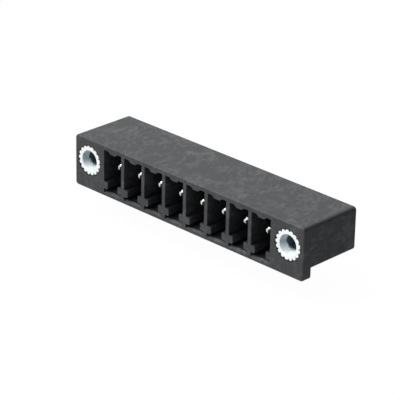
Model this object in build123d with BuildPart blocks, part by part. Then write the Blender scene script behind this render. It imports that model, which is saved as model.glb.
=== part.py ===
from build123d import *

import os

os.makedirs("parts", exist_ok=True)

# Right-angle pin header for a printed circuit board, with a threaded insert in each end flange.
# Millimetres. Origin: centre of the row of solder tails, on the board's surface.
# X runs along the row of poles, -Y points out of the mating face, Z points up from the board.

# Row of poles
pole_count = 8
pitch = 3.81
end_to_first_pole = 7.2

# Housing block
housing_depth = 9.7
housing_height = 7.25
end_corner_radius = 0.5
face_edge_radius = 0.25

# Mating cavities: one for each pole, open to the front
cavity_wall = 0.55
top_wall = 0.6
floor_thickness = 0.75
floor_lead_height = 0.22
floor_lead_depth = 0.35

# Keying rails: a T on the foot of every wall, which the plug's slots straddle
rail_overhang = 0.68
rail_gap = 0.38
rail_height = 1.0
rail_corner_radius = 0.15

# Nib under the top edge of each cavity
nib_root_width = 1.6
nib_tip_width = 1.0
nib_depth = 0.34
nib_corner_radius = 0.4

# Contact pins: round wire with a press-in collar in the back wall, bent down behind it
contact_diameter = 1.0
contact_height = 4.2
tip_setback = 1.3
tip_bevel = 0.2
collar_diameter = 1.4
bend_radius = 1.0
tail_length = 3.2
tail_bevel = 0.15
tail_to_rear = 1.1

# Back wall of the cavities, and the channels behind it for the bent pins
web_thickness = 1.0
web_to_bend = 0.4
channel_side_gap = 0.85
channel_top_gap = 0.4
channel_corner_radius = 0.3

# End flanges, relieved underneath behind a front lip
lip_thickness = 1.4
relief_height = 1.5
relief_wall = 0.8

# Threaded inserts, pressed into the flanges from the front
insert_from_end = 2.7
insert_height = 4.2
insert_length = 5.6
insert_setback = 0.05
tooth_count = 17
tooth_tip_radius = 2.08
tooth_root_radius = 1.83
tooth_root_width = 0.53
tooth_tip_width = 0.3
waist_depth = 0.32
waist_width = 1.0
thread_minor_radius = 1.025
lead_radius = 1.29
lead_depth = 0.6
lead_cone_depth = 0.3
screw_pocket_radius = 1.4
screw_pocket_depth = 1.5

# Sizes that follow from the ones above
row_length = (pole_count - 1) * pitch
housing_width = row_length + 2 * end_to_first_pole
pole_places = [(i - (pole_count - 1) / 2) * pitch for i in range(pole_count)]
cavity_width = pitch - cavity_wall
cavity_height = housing_height - top_wall - floor_thickness
cavity_top = floor_thickness + cavity_height
collar_length = web_thickness + web_to_bend
cavity_depth = housing_depth - tail_to_rear - bend_radius - collar_length
front_y = tail_to_rear - housing_depth
rear_y = tail_to_rear
rail_middle = floor_thickness + rail_gap + rail_height / 2
channel_width = contact_diameter + 2 * channel_side_gap
channel_top = contact_height + contact_diameter / 2 + channel_top_gap
channel_depth = tail_to_rear + bend_radius + web_to_bend
relief_width = end_to_first_pole - cavity_width / 2 - relief_wall
insert_x = housing_width / 2 - insert_from_end
seat_depth = insert_setback + insert_length

# Planes that face the plug, all drawn with X to the right and Z up
front_plane = Plane.XZ.offset(-front_y)
cavity_end_plane = front_plane.offset(-cavity_depth)
rear_plane = Plane.XZ.offset(-rear_y)
insert_face_plane = front_plane.offset(-insert_setback)
seat_end_plane = front_plane.offset(-seat_depth)

# Outline of one cavity, centred on its pole: the opening less its keying rails and nib
with BuildSketch() as cavity_outline:
    with Locations((0, floor_thickness)):
        Rectangle(cavity_width, cavity_height, align=(Align.CENTER, Align.MIN))
    with BuildLine():
        Polyline(
            (-nib_root_width / 2, cavity_top),
            (-nib_tip_width / 2, cavity_top - nib_depth),
            (nib_tip_width / 2, cavity_top - nib_depth),
            (nib_root_width / 2, cavity_top),
            close=True,
        )
    make_face(mode=Mode.SUBTRACT)
    nib_corners = [v for v in cavity_outline.vertices() if v.Y > cavity_top - 1.5 * nib_depth]
    fillet([v for v in nib_corners if abs(v.X) < (nib_root_width + cavity_width) / 4], nib_corner_radius)
    with Locations((-pitch / 2, rail_middle), (pitch / 2, rail_middle)):
        RectangleRounded(2 * rail_overhang + cavity_wall, rail_height, rail_corner_radius, mode=Mode.SUBTRACT)

# Housing
with BuildPart() as housing:
    with BuildSketch(front_plane) as block_outline:
        with Locations((0, housing_height / 2)):
            RectangleRounded(housing_width, housing_height, end_corner_radius)
    extrude(amount=-housing_depth)
    fillet(housing.faces().filter_by(Axis.Y).edges(), face_edge_radius)

    # Flange relief, open to the rear and to the ends
    with BuildSketch(Plane.XY) as relief_outline:
        for side in (-1, 1):
            with Locations((side * (housing_width - relief_width) / 2, front_y + lip_thickness)):
                Rectangle(relief_width, housing_depth - lip_thickness, align=(Align.CENTER, Align.MIN))
    extrude(amount=relief_height, mode=Mode.SUBTRACT)
    flange_undersides = housing.faces().filter_by(Plane.XY).filter_by_position(
        Axis.Z, relief_height, relief_height, inclusive=(True, True)
    )
    outer_edges = [
        edge
        for edge in flange_undersides.edges()
        if abs(edge.center().X) > housing_width / 2 - relief_width + face_edge_radius
        and edge.center().Y > front_y + lip_thickness + face_edge_radius
        or abs(edge.center().Y - rear_y) < face_edge_radius / 10
    ]
    fillet(outer_edges, face_edge_radius)

    # Mating cavities
    with BuildSketch(front_plane) as cavities:
        with GridLocations(pitch, 0, pole_count, 1):
            add(cavity_outline.sketch)
    extrude(amount=-cavity_depth, mode=Mode.SUBTRACT)
    front_face = housing.faces().filter_by(Axis.Y).sort_by(Axis.Y)[0]
    floor_edges = [
        edge
        for edge in front_face.edges().filter_by(Axis.X)
        if abs(edge.center().Z - floor_thickness) < floor_lead_height / 10
    ]
    chamfer(floor_edges, floor_lead_height, floor_lead_depth, reference=front_face)

    # Channels behind the back wall, open to the rear and to the board
    with BuildSketch(rear_plane) as channels:
        with GridLocations(pitch, 0, pole_count, 1):
            Rectangle(channel_width, channel_top, align=(Align.CENTER, Align.MIN))
        fillet(channels.vertices().group_by(Axis.Y)[-1], channel_corner_radius)
    extrude(amount=channel_depth, mode=Mode.SUBTRACT)

    # Holes for the pins through the back wall
    with BuildSketch(cavity_end_plane) as pin_holes:
        with Locations((0, contact_height)):
            with GridLocations(pitch, 0, pole_count, 1):
                Circle(collar_diameter / 2)
    extrude(amount=-web_thickness, mode=Mode.SUBTRACT)

    # Seats for the inserts, with a narrower pocket behind for the screw's end
    with BuildSketch(front_plane) as insert_seats:
        with Locations((-insert_x, insert_height), (insert_x, insert_height)):
            Circle(tooth_tip_radius)
    extrude(amount=-seat_depth, mode=Mode.SUBTRACT)
    with BuildSketch(seat_end_plane) as screw_pockets:
        with Locations((-insert_x, insert_height), (insert_x, insert_height)):
            Circle(screw_pocket_radius)
    extrude(amount=-screw_pocket_depth, mode=Mode.SUBTRACT)

housing.part.label = "housing"
export_step(housing.part, "parts/housing.step")


# Contact pins, numbered from -X to +X
for number, pole_x in enumerate(pole_places, start=1):
    with BuildPart() as contact_pin:
        with BuildLine(Plane.YZ.offset(pole_x)) as wire_path:
            FilletPolyline(
                (front_y + tip_setback, contact_height),
                (0, contact_height),
                (0, -tail_length),
                radius=bend_radius,
            )
        with BuildSketch(Plane(origin=wire_path.line @ 0, z_dir=wire_path.line % 0)) as wire_section:
            Circle(contact_diameter / 2)
        sweep(path=wire_path.line)
        with BuildSketch(cavity_end_plane) as press_collar:
            with Locations((pole_x, contact_height)):
                Circle(collar_diameter / 2)
        extrude(amount=-collar_length)
        round_edges = contact_pin.edges().filter_by(GeomType.CIRCLE)
        chamfer(round_edges.sort_by(Axis.Y)[0], tip_bevel)
        chamfer(round_edges.sort_by(Axis.Z)[0], tail_bevel)

    contact_pin.part.label = f"contact_pin_{number}"
    export_step(contact_pin.part, f"parts/contact_pin_{number}.step")


# Outline of one tooth of an insert, longer than it stands so that the tip circle trims it
with BuildSketch() as tooth_outline:
    with BuildLine():
        Polyline(
            (0, -tooth_root_width / 2),
            (tooth_root_radius, -tooth_root_width / 2),
            (tooth_tip_radius, -tooth_tip_width / 2),
            (tooth_tip_radius + waist_depth, -tooth_tip_width / 2),
            (tooth_tip_radius + waist_depth, tooth_tip_width / 2),
            (tooth_tip_radius, tooth_tip_width / 2),
            (tooth_root_radius, tooth_root_width / 2),
            (0, tooth_root_width / 2),
            close=True,
        )
    make_face()

# Outline of an insert, its teeth trimmed to the circle of the seat, with a gap between teeth on the X axis
with BuildSketch() as insert_outline:
    Circle(tooth_root_radius)
    with PolarLocations(0, tooth_count, start_angle=180 / tooth_count):
        add(tooth_outline.sketch)
    Circle(tooth_tip_radius, mode=Mode.INTERSECT)

# Threaded inserts
for side_name, side in (("left", -1), ("right", 1)):
    with BuildPart() as threaded_insert:
        with BuildSketch(insert_face_plane) as toothed_body:
            with Locations((side * insert_x, insert_height)):
                add(insert_outline.sketch)
        extrude(amount=-insert_length)

        # Waist between the two bands of teeth
        with BuildSketch(insert_face_plane.offset(-(insert_length - waist_width) / 2)) as waist:
            with Locations((side * insert_x, insert_height)):
                Circle(tooth_tip_radius)
                Circle(tooth_tip_radius - waist_depth, mode=Mode.SUBTRACT)
        extrude(amount=-waist_width, mode=Mode.SUBTRACT)

        # Smooth lead, cone and thread bore, turned about the insert's axis
        insert_face_y = front_y + insert_setback
        with BuildSketch(Plane.YZ.offset(side * insert_x)) as bore_profile:
            with BuildLine():
                Polyline(
                    (insert_face_y, insert_height),
                    (insert_face_y, insert_height + lead_radius),
                    (insert_face_y + lead_depth, insert_height + lead_radius),
                    (insert_face_y + lead_depth + lead_cone_depth, insert_height + thread_minor_radius),
                    (insert_face_y + insert_length, insert_height + thread_minor_radius),
                    (insert_face_y + insert_length, insert_height),
                    close=True,
                )
            make_face()
        revolve(axis=Axis((side * insert_x, 0, insert_height), (0, 1, 0)), mode=Mode.SUBTRACT)

    threaded_insert.part.label = f"threaded_insert_{side_name}"
    export_step(threaded_insert.part, f"parts/threaded_insert_{side_name}.step")
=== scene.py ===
"""Looks of an eight-pole right-angle board header with a threaded insert in each end flange.

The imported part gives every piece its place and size. This script dresses the moulded housing and the tinned
contact pins, puts a screw thread into the two inserts, and sets up the studio. Sizes are in millimetres and
angles in degrees unless a docstring says otherwise, and Blender works in metres.
"""

import logging
import math
from dataclasses import dataclass
from enum import Enum

import bmesh
import bpy
from mathutils import Matrix, Vector


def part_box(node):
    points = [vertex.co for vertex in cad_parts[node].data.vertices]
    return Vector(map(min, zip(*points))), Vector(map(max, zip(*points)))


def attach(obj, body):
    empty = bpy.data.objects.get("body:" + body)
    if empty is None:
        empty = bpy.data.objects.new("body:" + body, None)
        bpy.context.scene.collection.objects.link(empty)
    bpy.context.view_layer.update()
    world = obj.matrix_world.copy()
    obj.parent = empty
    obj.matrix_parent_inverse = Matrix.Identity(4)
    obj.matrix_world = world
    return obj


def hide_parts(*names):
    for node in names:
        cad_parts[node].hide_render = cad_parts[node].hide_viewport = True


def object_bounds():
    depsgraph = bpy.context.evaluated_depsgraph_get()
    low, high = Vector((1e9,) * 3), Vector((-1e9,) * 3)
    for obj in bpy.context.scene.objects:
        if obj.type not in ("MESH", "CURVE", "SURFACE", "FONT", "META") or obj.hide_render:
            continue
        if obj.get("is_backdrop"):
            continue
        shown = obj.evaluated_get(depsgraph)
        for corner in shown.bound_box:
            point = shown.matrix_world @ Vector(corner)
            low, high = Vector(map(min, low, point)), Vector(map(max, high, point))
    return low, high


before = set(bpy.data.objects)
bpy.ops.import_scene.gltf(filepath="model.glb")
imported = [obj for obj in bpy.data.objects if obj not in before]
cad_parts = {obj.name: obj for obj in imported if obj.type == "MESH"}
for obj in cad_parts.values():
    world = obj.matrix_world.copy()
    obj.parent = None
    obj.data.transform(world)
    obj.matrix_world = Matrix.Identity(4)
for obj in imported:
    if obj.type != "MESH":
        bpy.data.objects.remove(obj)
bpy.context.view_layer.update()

log = logging.getLogger("header")

MM = 0.001
BODY = "root"

# A noise texture's values lie mostly between these two
NOISE_LOW, NOISE_HIGH = 0.35, 0.65

# A wave texture repeats after this share of a unit
WAVE_REPEAT = 2 * math.pi / 20

# Settings that several nodes share
FADE_OUT = {"To Min": 1.0, "To Max": 0.0}
SMOOTH = {"interpolation_type": "SMOOTHSTEP"}

# Short names for two types of the shaders
Tree = bpy.types.NodeTree
Socket = bpy.types.NodeSocket


class Flange(Enum):
    """The two end flanges, by the ending of their nodes' names."""

    LEFT = "left"
    RIGHT = "right"


def linear(hex_colour: str) -> tuple[float, float, float, float]:
    """Turn an sRGB colour into the linear one that shaders use.

    Args:
        hex_colour: The colour as "#RRGGBB".

    Returns:
        Red, green, blue and an alpha of 1, linear.
    """
    parts = [int(hex_colour[i : i + 2], 16) / 255 for i in (1, 3, 5)]
    red, green, blue = (c / 12.92 if c <= 0.04045 else ((c + 0.055) / 1.055) ** 2.4 for c in parts)
    return red, green, blue, 1.0


def per_metre(size: float) -> float:
    """Give the texture scale for features of about this many millimetres, with places in metres."""
    return 1 / (size * MM)


def direction_from(azimuth: float, elevation: float) -> Vector:
    """Give the unit vector from the object to a viewer.

    Args:
        azimuth: The angle from the front, growing towards the right end.
        elevation: The angle above the horizon.

    Returns:
        The unit vector.
    """
    turn, rise = math.radians(azimuth), math.radians(elevation)
    return Vector((math.sin(turn) * math.cos(rise), -math.cos(turn) * math.cos(rise), math.sin(rise)))


def add_node(
    tree: Tree, kind: str, settings: dict[str | int, object] | None = None, **links: Socket
) -> bpy.types.Node:
    """Add a shader node with its settings and links.

    Inputs that share one name go by number. A Mix node's numbers are inputs 2 and 3 and output 0, and its
    colours are inputs 6 and 7 and output 2.

    Args:
        tree: The node tree that gets the node.
        kind: The node's type, without the "ShaderNode" in front.
        settings: Properties of the node by name, values of its inputs by name or number, and for a colour
            ramp "stops", its colours by their place from 0 to 1.
        **links: Outputs to link, by the input's name with "_" for a space, or "in_0" for input 0.

    Returns:
        The new node.
    """
    node = tree.nodes.new("ShaderNode" + kind)
    for name, value in (settings or {}).items():
        if name == "stops":
            for element, (place, colour) in zip(node.color_ramp.elements, value.items()):
                element.position, element.color = place, colour
        elif isinstance(name, str) and hasattr(node, name):
            setattr(node, name, value)
        else:
            node.inputs[name].default_value = value
    for name, output in links.items():
        key = int(name[3:]) if name.startswith("in_") else name.replace("_", " ")
        tree.links.new(output, node.inputs[key])
    return node


def ways_seen(tree: Tree) -> tuple[Socket, Socket]:
    """Tell how a surface or the world is seen.

    Args:
        tree: The node tree that gets the nodes.

    Returns:
        1 where it is seen straight from the camera, and 1 where it is seen in gloss or through glass, each
        of them 0 elsewhere.
    """
    ray = add_node(tree, "LightPath").outputs
    either = {"operation": "MAXIMUM"}
    gloss = add_node(tree, "Math", either, in_0=ray["Is Glossy Ray"], in_1=ray["Is Transmission Ray"])
    return ray["Is Camera Ray"], gloss.outputs["Value"]


def new_material(name: str) -> tuple[bpy.types.Material, Tree]:
    """Make an empty node material.

    Args:
        name: The material's name.

    Returns:
        The material and its node tree, which has no nodes yet.
    """
    material = bpy.data.materials.new(name)
    material.use_nodes = True
    material.node_tree.nodes.clear()
    return material, material.node_tree


def clouded_plate(tree: Tree, place: Socket, cloud: float, shade: str, plate: str) -> Socket:
    """Give the colour of a plating whose tint drifts in soft clouds.

    Args:
        tree: The material's node tree.
        place: A point of the piece, in metres.
        cloud: The width of a cloud.
        shade: The darkest tint.
        plate: The lightest tint.

    Returns:
        The colour.
    """
    clouds = add_node(tree, "TexNoise", {"Scale": per_metre(cloud), "Detail": 3.0}, Vector=place)
    stops = {NOISE_LOW: linear(shade), NOISE_HIGH: linear(plate)}
    return add_node(tree, "ValToRGB", {"stops": stops}, Fac=clouds.outputs["Fac"]).outputs["Color"]


def surface(
    tree: Tree,
    constants: dict[str, float],
    colour: Socket,
    roughness: Socket,
    relief: Socket,
    height: float,
) -> None:
    """End a material in its shader.

    Args:
        tree: The material's node tree.
        constants: Inputs of the shader that are the same all over the piece.
        colour: The base colour.
        roughness: The roughness.
        relief: The pattern that stands out as bump, from 0 to 1.
        height: The height of the relief.
    """
    normal = add_node(tree, "Bump", {"Distance": height * MM}, Height=relief).outputs["Normal"]
    links = {"Base_Color": colour, "Roughness": roughness, "Normal": normal}
    shader = add_node(tree, "BsdfPrincipled", constants, **links)
    add_node(tree, "OutputMaterial", Surface=shader.outputs["BSDF"])


def dress(piece: bpy.types.Object, material: bpy.types.Material) -> None:
    """Give a piece one material all over.

    Args:
        piece: The object to dress.
        material: The material, which goes into every slot of the piece.
    """
    if not piece.material_slots:
        piece.data.materials.append(material)
    for slot in piece.material_slots:
        slot.material = material


def piece_from(name: str, grid: bmesh.types.BMesh, crease: float) -> bpy.types.Object:
    """Turn a bmesh into a smooth-shaded object with sharp creases.

    Args:
        name: The name of the new object and its mesh.
        grid: The bmesh, which is freed.
        crease: Edges that turn by more than this angle stay sharp.

    Returns:
        The new object, linked to the scene.
    """
    limit = math.radians(crease)
    for face in grid.faces:
        face.smooth = True
    for edge in grid.edges:
        edge.smooth = edge.calc_face_angle(0.0) < limit
    mesh = bpy.data.meshes.new(name)
    grid.to_mesh(mesh)
    grid.free()
    piece = bpy.data.objects.new(name, mesh)
    bpy.context.scene.collection.objects.link(piece)
    return piece


@dataclass(frozen=True)
class MouldedPolyamide:
    """Black glass-filled polyamide 66, injection moulded against a fine eroded tool.

    The glass at the surface spreads the reflections, so lit faces look dark grey. Where the melt folded as
    it flowed, the fibres lie another way and leave clouds and short wavy strokes that are paler and
    glossier. Most strokes run from front to back.

    Attributes:
        body: Colour of the even ground.
        streak: Colour of a full flow mark.
        ior: Index of refraction of the plastic.
        roughness_low: Roughness of a full flow mark.
        roughness_high: Roughness of the even ground.
        fold: Distance over which the flow turns.
        fold_reach: How far the turns shift the strokes, at most.
        cloud: Width of a cloud.
        stroke_width: Width of a stroke.
        stroke_length: Length of a stroke.
        stroke_lean: Angle of the strokes to the line from front to back.
        stroke_share: Share of the strokes in the flow marks. The clouds have the rest.
        gloss_start: Strength of the marks at which the gloss starts to rise.
        mark_start: Strength at which the colour starts to pale.
        mark_full: Strength at which the marks are full.
        grain: Width of the tool's grain, as drawn.
        grain_height: Height of the grain.
        seat_shade: Colour of the painted shade on the seats' walls.
        seat_shade_inner: Distance outside the seats' walls up to which the painted shade is full.
        seat_shade_outer: Distance outside the seats' walls where the painted shade ends.
    """

    body: str = "#2A2C2F"
    streak: str = "#404246"
    ior: float = 1.53
    roughness_low: float = 0.42
    roughness_high: float = 0.53
    fold: float = 6.0
    fold_reach: float = 5.0
    cloud: float = 2.4
    stroke_width: float = 0.5
    stroke_length: float = 1.8
    stroke_lean: float = 22.0
    stroke_share: float = 0.45
    gloss_start: float = 0.45
    mark_start: float = 0.48
    mark_full: float = 0.66
    grain: float = 0.14
    grain_height: float = 0.006
    seat_shade: str = "#0B0B0C"
    seat_shade_inner: float = 0.04
    seat_shade_outer: float = 0.2

    def seat_shade_share(self, tree: Tree, place: Socket, seat: Vector, radius: float) -> Socket:
        """Give where painted shade darkens the housing in the inserts' seats.

        Args:
            tree: The material's node tree.
            place: A point of the piece, in metres.
            seat: The middle of the right insert's seat, in metres. The left one is its mirror image.
            radius: The seats' radius in metres.

        Returns:
            1 on the front half of the seats' walls, fading out just round their mouths, and 0 elsewhere.
        """
        parts = add_node(tree, "SeparateXYZ", Vector=place).outputs
        aside = add_node(tree, "Math", {"operation": "ABSOLUTE"}, in_0=parts["X"]).outputs["Value"]
        mirrored = add_node(tree, "CombineXYZ", X=aside, Z=parts["Z"]).outputs["Vector"]
        from_axis = {"operation": "DISTANCE", 1: (seat.x, 0.0, seat.z)}
        off = add_node(tree, "VectorMath", from_axis, in_0=mirrored).outputs["Value"]
        rim = {"From Min": radius + self.seat_shade_inner * MM, "From Max": radius + self.seat_shade_outer * MM}
        near = add_node(tree, "MapRange", rim | FADE_OUT, Value=off).outputs["Result"]
        in_front = {"operation": "LESS_THAN", 1: seat.y}
        front = add_node(tree, "Math", in_front, in_0=parts["Y"]).outputs["Value"]
        return add_node(tree, "Math", {"operation": "MULTIPLY"}, in_0=near, in_1=front).outputs["Value"]

    def flow_marks(self, tree: Tree, place: Socket) -> Socket:
        """Give the strength of the flow marks.

        Args:
            tree: The material's node tree.
            place: A point of the piece, in metres.

        Returns:
            Clouds and wavy strokes together, about 0.5 on average.
        """
        fold = {"Scale": per_metre(self.fold), "Detail": 1.0}
        turning = add_node(tree, "TexNoise", fold, Vector=place).outputs["Color"]
        shift = {"operation": "MULTIPLY_ADD", 1: (self.fold_reach * MM,) * 3}
        folded = add_node(tree, "VectorMath", shift, in_0=turning, in_2=place).outputs["Vector"]
        shape = {"Scale": (1.0, self.stroke_length / self.stroke_width, 1.0)}
        lean = {"vector_type": "TEXTURE", "Rotation": (0.0, 0.0, math.radians(self.stroke_lean))}
        drawn = add_node(tree, "Mapping", shape | lean, Vector=folded).outputs["Vector"]
        stroke = {"Scale": per_metre(self.stroke_width), "Detail": 1.0}
        strokes = add_node(tree, "TexNoise", stroke, Vector=drawn).outputs["Fac"]
        cloud = {"Scale": per_metre(self.cloud), "Detail": 3.0, "Distortion": 1.0}
        clouds = add_node(tree, "TexNoise", cloud, Vector=place).outputs["Fac"]
        both = {"data_type": "FLOAT", "Factor": self.stroke_share}
        return add_node(tree, "Mix", both, in_2=clouds, in_3=strokes).outputs[0]

    def material(self, seat: Vector, radius: float) -> bpy.types.Material:
        """Build the shader: flow marks in colour and gloss, painted shade in the seats, and the tool's eroded
        grain as bump.

        Args:
            seat: The middle of the right insert's seat, in metres.
            radius: The seats' radius in metres.

        Returns:
            The material.
        """
        material, tree = new_material("polyamide_black_moulded")
        place = add_node(tree, "TexCoord").outputs["Object"]
        flow = self.flow_marks(tree, place)
        stops = {self.mark_start: linear(self.body), self.mark_full: linear(self.streak)}
        moulded = add_node(tree, "ValToRGB", {"stops": stops}, Fac=flow).outputs["Color"]
        # Painted shade: the front half of each seat's wall and a thin ring round its mouth turn near black.
        seat_shaded = self.seat_shade_share(tree, place, seat, radius)
        seat_shade = {"data_type": "RGBA", 7: linear(self.seat_shade)}
        colour = add_node(tree, "Mix", seat_shade, Factor=seat_shaded, in_6=moulded).outputs[2]
        marks = {"From Min": self.gloss_start, "From Max": self.mark_full}
        glossier = {"To Min": self.roughness_high, "To Max": self.roughness_low}
        roughness = add_node(tree, "MapRange", marks | glossier, Value=flow).outputs["Result"]
        # The real grain is about 0.05 mm across. It is drawn coarser, so that it shows at all.
        eroded = {"Scale": per_metre(self.grain), "Detail": 2.0, "Roughness": 0.6}
        grain = add_node(tree, "TexNoise", eroded, Vector=place).outputs["Fac"]
        surface(tree, {"IOR": self.ior}, colour, roughness, grain, self.grain_height)
        return material


@dataclass(frozen=True)
class BrightTin:
    """Bright tin, electroplated over drawn copper-alloy wire.

    The plating is nearly a mirror and slightly warm, and the wire's fine draw lines stretch its highlights.
    The wire is sheared after plating, so its mating end is bare and dull. The dark patch on each end is that
    bare wire and painted shade together: it sits right of the middle and below it, so that the tin to its
    left and above it reads as a crescent highlight.

    Attributes:
        plate: Lightest tint of the plating.
        shade: Darkest tint of the plating.
        bare_shaded_end: Colour of the bare sheared wire together with the painted shade on it.
        roughness: Roughness of the plating.
        bare_end_roughness: Roughness of the bare end.
        cloud: Width of a cloud in the tint.
        draw_line: Width of a draw line.
        draw_length: Length of a draw line.
        line_height: Height of the draw lines.
        bare_shaded_radius: Radius of the circle inside which the end is bare and painted with shade.
        bare_shaded_offset: Middle of that circle, to the right of the pin's own axis and above it.
        bare_shaded_depth: Distance behind the pin's end that the dark patch reaches.
        bare_shaded_soft: Share of the radius and the depth over which the dark patch fades, each way.
    """

    plate: str = "#F4F3EF"
    shade: str = "#DCDBD6"
    bare_shaded_end: str = "#34312E"
    roughness: float = 0.2
    bare_end_roughness: float = 0.6
    cloud: float = 0.7
    draw_line: float = 0.05
    draw_length: float = 3.0
    line_height: float = 0.0006
    bare_shaded_radius: float = 0.42
    bare_shaded_offset: tuple[float, float] = (0.38, -0.14)
    bare_shaded_depth: float = 0.22
    bare_shaded_soft: float = 0.1

    def bare_shaded_share(self, tree: Tree, place: Socket, first_tip: Vector, pitch: float) -> Socket:
        """Give where the sheared ends are bare and darkened by painted shade.

        Args:
            tree: The material's node tree.
            place: A point of a pin, in metres.
            first_tip: The middle of the first pin's mating end, in metres.
            pitch: The distance from one pin to the next along X, in metres.

        Returns:
            1 on the torn part of each mating end, and 0 elsewhere.
        """
        aside, up = self.bare_shaded_offset
        centre = first_tip + Vector((aside * MM, 0.0, up * MM))
        from_centre = {"operation": "SUBTRACT", 1: tuple(centre)}
        offset = add_node(tree, "VectorMath", from_centre, in_0=place).outputs["Vector"]
        parts = add_node(tree, "SeparateXYZ", Vector=offset).outputs
        to_nearest_pin = {"operation": "WRAP", 1: pitch / 2, 2: -pitch / 2}
        across = add_node(tree, "Math", to_nearest_pin, in_0=parts["X"]).outputs["Value"]
        off = add_node(tree, "CombineXYZ", X=across, Z=parts["Z"]).outputs["Vector"]
        radius = add_node(tree, "VectorMath", {"operation": "LENGTH"}, in_0=off).outputs["Value"]
        shares = []
        for limit, measured in ((self.bare_shaded_radius, radius), (self.bare_shaded_depth, parts["Y"])):
            least, most = (1 - self.bare_shaded_soft) * limit * MM, (1 + self.bare_shaded_soft) * limit * MM
            edge = {"From Min": least, "From Max": most}
            shares.append(add_node(tree, "MapRange", edge | FADE_OUT, Value=measured).outputs["Result"])
        inside, near_end = shares
        both = {"operation": "MULTIPLY"}
        return add_node(tree, "Math", both, in_0=inside, in_1=near_end).outputs["Value"]

    def material(self, first_tip: Vector, pitch: float) -> bpy.types.Material:
        """Build the shader: faint clouds in the plate's tint, draw lines as bump, and bare ends with painted
        shade.

        Args:
            first_tip: The middle of the first pin's mating end, in metres.
            pitch: The distance from one pin to the next along X, in metres.

        Returns:
            The material.
        """
        material, tree = new_material("tin_bright_plated")
        place = add_node(tree, "TexCoord").outputs["Object"]
        plated = clouded_plate(tree, place, self.cloud, self.shade, self.plate)
        # Bare sheared wire and painted shade: a dark patch right of and below each mating end's middle.
        bare_shaded_end = self.bare_shaded_share(tree, place, first_tip, pitch)
        bare_shaded_colour = {"data_type": "RGBA", 7: linear(self.bare_shaded_end)}
        colour = add_node(tree, "Mix", bare_shaded_colour, Factor=bare_shaded_end, in_6=plated).outputs[2]
        duller = {"To Min": self.roughness, "To Max": self.bare_end_roughness}
        roughness = add_node(tree, "MapRange", duller, Value=bare_shaded_end).outputs["Result"]
        along = self.draw_line / self.draw_length
        drawn = add_node(tree, "Mapping", {"Scale": (1.0, along, along)}, Vector=place).outputs["Vector"]
        fine = {"Scale": per_metre(self.draw_line), "Detail": 1.0}
        lines = add_node(tree, "TexNoise", fine, Vector=drawn).outputs["Fac"]
        surface(tree, {"Metallic": 1.0}, colour, roughness, lines, self.line_height)
        return material


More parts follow.
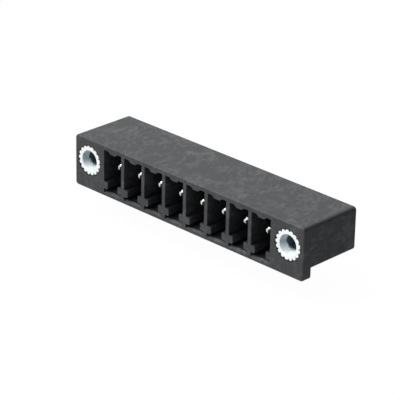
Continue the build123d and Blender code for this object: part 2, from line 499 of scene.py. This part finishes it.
@dataclass(frozen=True)
class NickelOnBrass:
    """Turned and knurled brass with bright nickel plating.

    The plating is nearly white under soft light, and the tool's feed leaves fine rings on the turned face.
    The drilled bore is matt, and painted shade makes it greyer apart from its lower side. Deep in it, and in
    the gaps between the teeth, painted shade darkens the plating further.

    Attributes:
        plate: Lightest tint of the plating.
        shade: Darkest tint of the plating.
        upper_shade_tint: Colour of the painted shade on the matt bore, apart from its lower side.
        deep_shade: Colour of the painted shade deep in the bore and between the teeth.
        roughness: Roughness of the face.
        bore_roughness: Roughness behind the face.
        cloud: Width of a cloud in the tint.
        feed: Distance from one turned ring to the next, as drawn.
        ring_height: Height of the turned rings.
        bore_limit: Radius on the face that parts the bore from the teeth.
        limit_soft: Distance to each side of that radius over which the two blend.
        upper_shade_fade: Distance below the axis over which the grey painted shade fades out.
        bore_shade_depth: Depth at which the deep painted shade starts in the bore's upper half.
        lower_shade_depth: Depth at which it starts at the bore's lower side.
        gap_depth: Depth at which it starts between the teeth, and by which the plating is matt.
        deep_shade_fade: Distance over which the deep painted shade comes up.
    """

    plate: str = "#FDFFFF"
    shade: str = "#F4F9FA"
    upper_shade_tint: str = "#D2DEE3"
    deep_shade: str = "#7C939C"
    roughness: float = 0.26
    bore_roughness: float = 0.9
    cloud: float = 0.9
    feed: float = 0.11
    ring_height: float = 0.0008
    bore_limit: float = 1.5
    limit_soft: float = 0.05
    upper_shade_fade: float = 0.9
    bore_shade_depth: float = 0.8
    lower_shade_depth: float = 1.5
    gap_depth: float = 0.06
    deep_shade_fade: float = 0.2

    def shares(self, tree: Tree, place: Socket) -> tuple[Socket, Socket, Socket]:
        """Give the deep painted shade, the mattness and the grey painted shade of the surface.

        Args:
            tree: The material's node tree.
            place: A point in the piece's own frame, in metres. Its Y axis runs down the bore from the face.

        Returns:
            The deep painted shade, which is 1 deep in the bore and between the teeth, the mattness, which is
            1 behind the face, and the grey painted shade, which fades out towards the lower side.
        """
        parts = add_node(tree, "SeparateXYZ", Vector=place).outputs
        without_depth = {"operation": "MULTIPLY", 1: (1.0, 0.0, 1.0)}
        across = add_node(tree, "VectorMath", without_depth, in_0=place).outputs["Vector"]
        radius = add_node(tree, "VectorMath", {"operation": "LENGTH"}, in_0=across).outputs["Value"]
        downwards = {"From Max": -self.bore_limit * MM}
        deeper = {"To Min": self.bore_shade_depth * MM, "To Max": self.lower_shade_depth * MM}
        in_bore = add_node(tree, "MapRange", downwards | deeper, Value=parts["Z"]).outputs["Result"]
        outwards = {
            "From Min": (self.bore_limit - self.limit_soft) * MM,
            "From Max": (self.bore_limit + self.limit_soft) * MM,
            "To Max": self.gap_depth * MM,
        }
        start = add_node(tree, "MapRange", outwards, Value=radius, To_Min=in_bore).outputs["Result"]
        from_start = {"operation": "SUBTRACT"}
        behind = add_node(tree, "Math", from_start, in_0=parts["Y"], in_1=start).outputs["Value"]
        fade = {"From Max": self.deep_shade_fade * MM}
        deep_shade = add_node(tree, "MapRange", SMOOTH | fade, Value=behind).outputs["Result"]
        inwards = {"From Max": self.gap_depth * MM}
        matt = add_node(tree, "MapRange", inwards, Value=parts["Y"]).outputs["Result"]
        upwards = {"From Min": -self.upper_shade_fade * MM, "From Max": 0.0}
        upper = add_node(tree, "MapRange", SMOOTH | upwards, Value=parts["Z"]).outputs["Result"]
        upper_shade = add_node(tree, "Math", {"operation": "MULTIPLY"}, in_0=matt, in_1=upper).outputs["Value"]
        return deep_shade, matt, upper_shade

    def material(self) -> bpy.types.Material:
        """Build the shader: clouds and painted shade in the plate, and turning rings about the piece's own Y
        axis.

        Returns:
            The material.
        """
        material, tree = new_material("nickel_bright_plated")
        place = add_node(tree, "TexCoord").outputs["Object"]
        colour = clouded_plate(tree, place, self.cloud, self.shade, self.plate)
        deep_shade, matt, upper_shade = self.shares(tree, place)
        # Painted shade: grey over all but the lower side behind the face, and darker deep in the bore and
        # between the teeth.
        for tint, share in ((self.upper_shade_tint, upper_shade), (self.deep_shade, deep_shade)):
            tinted = {"data_type": "RGBA", 7: linear(tint)}
            colour = add_node(tree, "Mix", tinted, Factor=share, in_6=colour).outputs[2]
        duller = {"To Min": self.roughness, "To Max": self.bore_roughness}
        roughness = add_node(tree, "MapRange", duller, Value=matt).outputs["Result"]
        # The feed is about 0.06 mm a turn on the real piece. It is drawn coarser, so that the rings show.
        turned = {
            "wave_type": "RINGS",
            "rings_direction": "Y",
            "Scale": WAVE_REPEAT * per_metre(self.feed),
            "Distortion": 0.6,
            "Detail": 1.0,
        }
        rings = add_node(tree, "TexWave", turned, Vector=place).outputs["Fac"]
        surface(tree, {"Metallic": 1.0}, colour, roughness, rings, self.ring_height)
        return material


@dataclass(frozen=True)
class StudioLight:
    """How bright the white surroundings look in the object's gloss.

    The tent is brightest on its lamp's side, at the left, and falls off towards the right and towards its
    foot. The paper is bright in front of the object and to its left, and shaded behind its right end.
    A strength of 1 is white.

    Attributes:
        towards_lamp: Level direction from the object to the tent's bright side.
        side_spread: Cosine of the angle from that direction at which the tent is fully bright. The dark
            side is its mirror image.
        tent_bright: Strength of the bright side.
        tent_dark: Strength of the dark side.
        foot_height: Sine of the elevation up to which the tent's foot is shaded.
        foot_share: Share of its strength that the foot keeps at the horizon.
        towards_bright_paper: Level direction from the object to the bright paper.
        shade_end: Distance from the origin in that direction where the paper is darkest. It is behind.
        shade_start: Distance from the origin in that direction where the shade starts.
        paper_bright: Strength of the bright paper.
        paper_dark: Strength of the darkest paper.
    """

    towards_lamp: tuple[float, float, float] = (-0.9539, -0.3, 0.0)
    side_spread: float = 0.85
    tent_bright: float = 1.56
    tent_dark: float = 0.048
    foot_height: float = 0.34
    foot_share: float = 0.25
    towards_bright_paper: tuple[float, float, float] = (-0.6, -0.8, 0.0)
    shade_end: float = -20.0
    shade_start: float = 4.0
    paper_bright: float = 1.0
    paper_dark: float = 0.31

    def seen_in_tent(self, tree: Tree, direction: Socket) -> Socket:
        """Give the tent's brightness in a direction.

        Args:
            tree: The world's node tree.
            direction: A vector from the object outwards, of any length.

        Returns:
            The brightness, from dark to bright.
        """
        unit = add_node(tree, "VectorMath", {"operation": "NORMALIZE"}, in_0=direction).outputs["Vector"]
        to_lamp = {"operation": "DOT_PRODUCT", 1: self.towards_lamp}
        facing = add_node(tree, "VectorMath", to_lamp, in_0=unit).outputs["Value"]
        across = {"From Min": -self.side_spread, "From Max": self.side_spread}
        brighter = {"To Min": self.tent_dark, "To Max": self.tent_bright}
        side = add_node(tree, "MapRange", SMOOTH | across | brighter, Value=facing).outputs["Result"]
        height = add_node(tree, "SeparateXYZ", Vector=unit).outputs["Z"]
        upwards = {"From Max": self.foot_height, "To Min": self.foot_share}
        foot = add_node(tree, "MapRange", SMOOTH | upwards, Value=height).outputs["Result"]
        return add_node(tree, "Math", {"operation": "MULTIPLY"}, in_0=side, in_1=foot).outputs["Value"]

    def seen_in_paper(self, tree: Tree, place: Socket) -> Socket:
        """Give the paper's brightness at a place.

        Args:
            tree: The paper's node tree.
            place: A point of the paper, in metres.

        Returns:
            The brightness, from dark to bright.
        """
        to_bright = {"operation": "DOT_PRODUCT", 1: self.towards_bright_paper}
        along = add_node(tree, "VectorMath", to_bright, in_0=place).outputs["Value"]
        across = {"From Min": self.shade_end * MM, "From Max": self.shade_start * MM}
        brighter = {"To Min": self.paper_dark, "To Max": self.paper_bright}
        return add_node(tree, "MapRange", SMOOTH | across | brighter, Value=along).outputs["Result"]


@dataclass(frozen=True)
class WhitePaper:
    """White matt photographic paper, laid flat.

    It is pure white to the eye, as an overexposed backdrop is, and keeps a faint trace of the object's
    shadow.

    Attributes:
        sheet: Colour of the paper.
        glow: Strength of its white to the camera, where 1 is white.
        shadow_share: Share of its lit colour that the camera sees over the glow, with the shadow.
        fibre: Width of a fibre.
        fibre_height: Height of the fibres.
        fibre_strength: Strength of their bump, from 0 to 1.
    """

    sheet: str = "#F4F4F2"
    glow: float = 0.975
    shadow_share: float = 0.04
    fibre: float = 0.4
    fibre_height: float = 0.01
    fibre_strength: float = 0.3

    def material(self, light: StudioLight) -> bpy.types.Material:
        """Build the shader: white to the camera, graded in the object's gloss, and plain paper to all else.

        Args:
            light: The brightness of the surroundings, which gloss on the object sees in the paper.

        Returns:
            The material.
        """
        material, tree = new_material("paper_white_matt")
        by_camera, in_gloss = ways_seen(tree)
        place = add_node(tree, "NewGeometry").outputs["Position"]
        fibres = add_node(tree, "TexNoise", {"Scale": per_metre(self.fibre)}, Vector=place).outputs["Fac"]
        felt = {"Distance": self.fibre_height * MM, "Strength": self.fibre_strength}
        normal = add_node(tree, "Bump", felt, Height=fibres).outputs["Normal"]
        share = tuple(c * self.shadow_share for c in linear(self.sheet)[:3]) + (1.0,)
        faint = add_node(tree, "BsdfDiffuse", {"Color": share}, Normal=normal).outputs["BSDF"]
        glow = add_node(tree, "Emission", {"Strength": self.glow}).outputs["Emission"]
        white = add_node(tree, "AddShader", in_0=faint, in_1=glow).outputs["Shader"]
        graded = add_node(tree, "Emission", Strength=light.seen_in_paper(tree, place)).outputs["Emission"]
        plain = add_node(tree, "BsdfDiffuse", {"Color": linear(self.sheet)}, Normal=normal).outputs["BSDF"]
        unseen = add_node(tree, "MixShader", Fac=in_gloss, in_1=plain, in_2=graded).outputs["Shader"]
        sheet = add_node(tree, "MixShader", Fac=by_camera, in_1=unseen, in_2=white).outputs["Shader"]
        add_node(tree, "OutputMaterial", Surface=sheet)
        return material


@dataclass
class Housing:
    """The moulded housing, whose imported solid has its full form.

    Attributes:
        finish: Its plastic.
        node: Name of its node.
        seated: Name of the insert in its right seat, which gives the seat's place and size.
    """

    finish: MouldedPolyamide
    node: str = "housing"
    seated: str = "threaded_insert_right"

    def build(self) -> list[bpy.types.Object]:
        """Dress the housing, with painted shade in the seats where the inserts stand.

        Returns:
            The housing.
        """
        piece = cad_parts[self.node]
        low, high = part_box(self.seated)
        dress(piece, self.finish.material((low + high) / 2, (high.z - low.z) / 2))
        return [piece]


@dataclass
class ContactRow:
    """The row of bent contact pins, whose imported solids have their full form.

    The press collar is the highest point of a pin, at its radius above the middle of the mating end.

    Attributes:
        finish: The pins' plating.
        prefix: Start of their nodes' names.
        collar_radius: Radius of the press collar.
    """

    finish: BrightTin
    prefix: str = "contact_pin_"
    collar_radius: float = 0.7

    def build(self) -> list[bpy.types.Object]:
        """Dress every pin of the row.

        Returns:
            The pins.
        """
        names = sorted(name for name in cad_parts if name.startswith(self.prefix))
        low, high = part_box(names[0])
        first_tip = Vector(((low.x + high.x) / 2, low.y, high.z - self.collar_radius * MM))
        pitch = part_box(names[1])[0].x - low.x
        material = self.finish.material(first_tip, pitch)
        pins = [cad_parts[name] for name in names]
        for pin in pins:
            dress(pin, material)
        return pins


@dataclass
class ThreadedInsert:
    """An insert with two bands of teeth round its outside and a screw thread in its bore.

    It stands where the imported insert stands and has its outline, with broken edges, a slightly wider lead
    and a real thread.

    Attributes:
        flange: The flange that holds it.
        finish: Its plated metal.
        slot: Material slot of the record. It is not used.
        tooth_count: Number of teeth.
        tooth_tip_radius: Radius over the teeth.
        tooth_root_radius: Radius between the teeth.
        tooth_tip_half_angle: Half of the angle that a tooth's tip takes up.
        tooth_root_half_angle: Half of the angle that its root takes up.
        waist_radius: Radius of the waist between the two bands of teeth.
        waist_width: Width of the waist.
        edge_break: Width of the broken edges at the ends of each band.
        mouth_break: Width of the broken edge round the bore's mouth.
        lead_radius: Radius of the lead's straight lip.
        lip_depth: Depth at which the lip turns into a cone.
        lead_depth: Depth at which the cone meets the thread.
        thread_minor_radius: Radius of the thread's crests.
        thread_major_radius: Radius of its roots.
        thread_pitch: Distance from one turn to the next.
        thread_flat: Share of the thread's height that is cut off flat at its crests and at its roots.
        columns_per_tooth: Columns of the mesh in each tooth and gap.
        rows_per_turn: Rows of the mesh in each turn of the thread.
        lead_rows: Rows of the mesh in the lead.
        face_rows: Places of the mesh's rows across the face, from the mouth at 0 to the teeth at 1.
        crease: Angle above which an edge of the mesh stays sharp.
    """

    flange: Flange
    finish: bpy.types.Material
    slot: str = "plated_insert"
    tooth_count: int = 17
    tooth_tip_radius: float = 2.08
    tooth_root_radius: float = 1.83
    tooth_tip_half_angle: float = 3.6
    tooth_root_half_angle: float = 8.8
    waist_radius: float = 1.76
    waist_width: float = 1.0
    edge_break: float = 0.05
    mouth_break: float = 0.08
    lead_radius: float = 1.35
    lip_depth: float = 0.18
    lead_depth: float = 0.9
    thread_minor_radius: float = 1.025
    thread_major_radius: float = 1.25
    thread_pitch: float = 0.45
    thread_flat: float = 0.15
    columns_per_tooth: int = 20
    rows_per_turn: int = 12
    lead_rows: int = 8
    face_rows: tuple[float, ...] = (0.0, 0.35, 0.7, 1.0)
    crease: float = 40.0

    @property
    def node(self) -> str:
        """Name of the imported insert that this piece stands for."""
        return f"threaded_insert_{self.flange.value}"

    def outline_radius(self, angle: float) -> float:
        """Radius of the toothed outline.

        Args:
            angle: In radians, counted from the X axis.

        Returns:
            The radius, with each tooth's flanks rounded over into its tip.
        """
        step = 2 * math.pi / self.tooth_count
        off_centre = abs((angle % step) - step / 2)
        tip, root = math.radians(self.tooth_tip_half_angle), math.radians(self.tooth_root_half_angle)
        rise = min(max((root - off_centre) / (root - tip), 0.0), 1.0)
        rounded = math.sin(rise * math.pi / 2)
        return self.tooth_root_radius + (self.tooth_tip_radius - self.tooth_root_radius) * rounded

    def bore_radius(self, angle: float, depth: float, length: float) -> float:
        """Radius of the bore.

        Args:
            angle: In radians, counted from the X axis.
            depth: Distance behind the insert's face.
            length: The insert's length.

        Returns:
            The radius of the lead with its broken edge, or behind it the wider of the thread and the
            chamfer at the far end.
        """
        if depth < self.lead_depth:
            along = max(depth - self.lip_depth, 0.0) / (self.lead_depth - self.lip_depth)
            narrowing = (self.lead_radius - self.thread_minor_radius) * along
            return self.lead_radius - narrowing + max(self.mouth_break - depth, 0.0)
        turn = (depth / self.thread_pitch + angle / (2 * math.pi)) % 1.0
        wave = 0.5 - 0.5 * math.cos(2 * math.pi * turn)
        flattened = min(max((1 + 2 * self.thread_flat) * wave - self.thread_flat, 0.0), 1.0)
        cut = self.thread_minor_radius + (self.thread_major_radius - self.thread_minor_radius) * flattened
        far_chamfer = self.thread_major_radius - (length - depth)
        return max(cut, far_chamfer)

    def section(self, angle: float, length: float) -> list[tuple[float, float]]:
        """Closed section of the insert at one angle.

        Args:
            angle: In radians, counted from the X axis.
            length: The insert's length.

        Returns:
            Pairs of radius and depth, from the bore's mouth over the face and the outside to the far end,
            and back through the bore.
        """
        tip, edge = self.outline_radius(angle), self.edge_break
        mouth = self.lead_radius + self.mouth_break
        shoulder = tip - edge
        face = [(mouth + (shoulder - mouth) * share, 0.0) for share in self.face_rows]
        band = (length - self.waist_width) / 2
        outside = [
            (tip, edge),
            (tip, band - edge),
            (shoulder, band),
            (self.waist_radius, band),
            (self.waist_radius, length - band),
            (shoulder, length - band),
            (tip, length - band + edge),
            (tip, length - edge),
            (shoulder, length),
        ]
        row = self.thread_pitch / self.rows_per_turn
        rows = int((length - self.lead_depth) / row)
        threaded = [length - i * (length - self.lead_depth) / rows for i in range(rows + 1)]
        # The lead ends a tenth of a row short of the thread, because each has a radius of its own there.
        inner, steps = self.lead_depth - row / 10, self.lead_rows
        lead = [inner + (self.mouth_break - inner) * i / steps for i in range(steps + 1)]
        bore = [(self.bore_radius(angle, depth, length), depth) for depth in threaded + lead]
        return face + outside + bore

    def build(self) -> list[bpy.types.Object]:
        """Build the insert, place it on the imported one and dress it.

        Returns:
            The insert.
        """
        low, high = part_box(self.node)
        length = (high.y - low.y) / MM
        columns = self.tooth_count * self.columns_per_tooth
        grid = bmesh.new()
        rings = []
        for column in range(columns):
            angle = 2 * math.pi * column / columns
            cosine, sine = math.cos(angle), math.sin(angle)
            rings.append(
                [
                    grid.verts.new((radius * cosine * MM, depth * MM, radius * sine * MM))
                    for radius, depth in self.section(angle, length)
                ]
            )
        for column, ring in enumerate(rings):
            beside = rings[(column + 1) % columns]
            for i in range(len(ring)):
                j = (i + 1) % len(ring)
                grid.faces.new((ring[i], beside[i], beside[j], ring[j]))
        bmesh.ops.recalc_face_normals(grid, faces=grid.faces)
        piece = piece_from(f"knurled_insert_{self.flange.value}", grid, self.crease)
        piece.location = ((low.x + high.x) / 2, low.y, (low.z + high.z) / 2)
        dress(piece, self.finish)
        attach(piece, BODY)
        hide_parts(self.node)
        return [piece]


@dataclass
class AreaLamp:
    """A soft square lamp that points at the object.

    Attributes:
        name: Name of the lamp.
        azimuth: Angle from the front, growing towards the right end.
        elevation: Angle above the horizon.
        distance: Distance from the object.
        size: Length of its sides.
        watts: Power.
    """

    name: str
    azimuth: float
    elevation: float
    distance: float
    size: float
    watts: float

    def build(self, target: Vector) -> bpy.types.Object:
        """Place the lamp.

        Args:
            target: The point that it faces, in metres.

        Returns:
            The lamp.
        """
        data = bpy.data.lights.new(self.name, "AREA")
        data.shape = "SQUARE"
        data.size = self.size * MM
        data.energy = self.watts
        lamp = bpy.data.objects.new(self.name, data)
        away = direction_from(self.azimuth, self.elevation)
        lamp.location = target + away * self.distance * MM
        lamp.rotation_euler = (-away).to_track_quat("-Z", "Y").to_euler()
        bpy.context.scene.collection.objects.link(lamp)
        return lamp


@dataclass
class Studio:
    """Floor, surroundings and lamps.

    Attributes:
        light: The brightness of the surroundings in gloss.
        paper: The floor's finish.
        floor_width: Length of the floor's sides.
        ambient: Strength of the world as it lights the object.
        white: Colour of the world.
    """

    light: StudioLight
    paper: WhitePaper
    floor_width: float = 3000.0
    ambient: float = 0.336
    white: str = "#FFFFFF"

    def build(self) -> list[bpy.types.Object]:
        """Lay the floor under the lowest point of the part, and light the part.

        Returns:
            The floor.
        """
        low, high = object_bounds()
        half = self.floor_width / 2 * MM
        sheet = bmesh.new()
        corners = ((-1, -1), (1, -1), (1, 1), (-1, 1))
        sheet.faces.new([sheet.verts.new((x * half, y * half, 0.0)) for x, y in corners])
        floor = piece_from("floor", sheet, crease=30.0)
        floor.location = (0.0, 0.0, low.z)
        dress(floor, self.paper.material(self.light))
        floor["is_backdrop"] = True
        for lamp in (
            AreaLamp("key", azimuth=-48.0, elevation=50.0, distance=420.0, size=260.0, watts=0.95),
            AreaLamp("top", azimuth=170.0, elevation=78.0, distance=420.0, size=320.0, watts=0.45),
        ):
            lamp.build((low + high) / 2)
        self.surround()
        return [floor]

    def surround(self) -> None:
        """Make the world: white to the camera, soft to the object, and graded to its gloss."""
        world = bpy.data.worlds.new("light_tent")
        bpy.context.scene.world = world
        world.use_nodes = True
        tree = world.node_tree
        tree.nodes.clear()
        by_camera, in_gloss = ways_seen(tree)
        direction = add_node(tree, "TexCoord").outputs["Generated"]
        graded = self.light.seen_in_tent(tree, direction)
        soft = {"data_type": "FLOAT", 2: self.ambient}
        unseen = add_node(tree, "Mix", soft, Factor=in_gloss, in_3=graded).outputs[0]
        full = {"data_type": "FLOAT", 3: 1.0}
        strength = add_node(tree, "Mix", full, Factor=by_camera, in_2=unseen).outputs[0]
        shader = add_node(tree, "Background", {"Color": linear(self.white)}, Strength=strength)
        add_node(tree, "OutputWorld", Surface=shader.outputs["Background"])


@dataclass
class PhotoCamera:
    """The camera that took the picture, as solved from the edges of the housing.

    Attributes:
        azimuth: Angle from the front, growing towards the right end.
        elevation: Angle above the horizon.
        roll: Anticlockwise turn, as seen from behind the camera.
        distance: Distance from the target.
        target: The point at the middle of the picture.
        lens: Focal length.
        sensor: Width of the sensor.
        nearest: Nearest distance that it shows.
        farthest: Farthest distance that it shows.
    """

    azimuth: float = 44.065
    elevation: float = 24.397
    roll: float = 1.17
    distance: float = 288.6
    target: tuple[float, float, float] = (-3.289, -2.344, 1.329)
    lens: float = 198.45
    sensor: float = 36.0
    nearest: float = 10.0
    farthest: float = 10000.0

    def build(self) -> bpy.types.Object:
        """Create the camera and make it the scene's own.

        Returns:
            The camera.
        """
        data = bpy.data.cameras.new("camera")
        data.lens = self.lens
        data.sensor_width = self.sensor
        data.clip_start, data.clip_end = self.nearest * MM, self.farthest * MM
        camera = bpy.data.objects.new("camera", data)
        away = direction_from(self.azimuth, self.elevation)
        camera.location = Vector(self.target) * MM + away * self.distance * MM
        facing = (-away).to_track_quat("-Z", "Y").to_matrix()
        camera.rotation_euler = (facing @ Matrix.Rotation(math.radians(self.roll), 3, "Z")).to_euler()
        bpy.context.scene.collection.objects.link(camera)
        bpy.context.scene.camera = camera
        return camera


def report(title: str, pieces: list[bpy.types.Object]) -> None:
    """Log the pieces of one sub-assembly with their face counts."""
    for piece in pieces:
        log.info("%s: %s, %d faces", title, piece.name, len(piece.data.polygons))


def main() -> None:
    """Build and dress the header, then the studio and the camera."""
    logging.basicConfig(level=logging.INFO, format="%(name)s: %(message)s")
    bpy.context.scene.view_settings.view_transform = "Standard"
    report("housing", Housing(MouldedPolyamide()).build())
    report("contacts", ContactRow(BrightTin()).build())
    plated = NickelOnBrass().material()
    for flange in Flange:
        report("insert", ThreadedInsert(flange, plated).build())
    report("studio", Studio(StudioLight(), WhitePaper()).build())
    PhotoCamera().build()


if __name__ == "__main__":
    main()
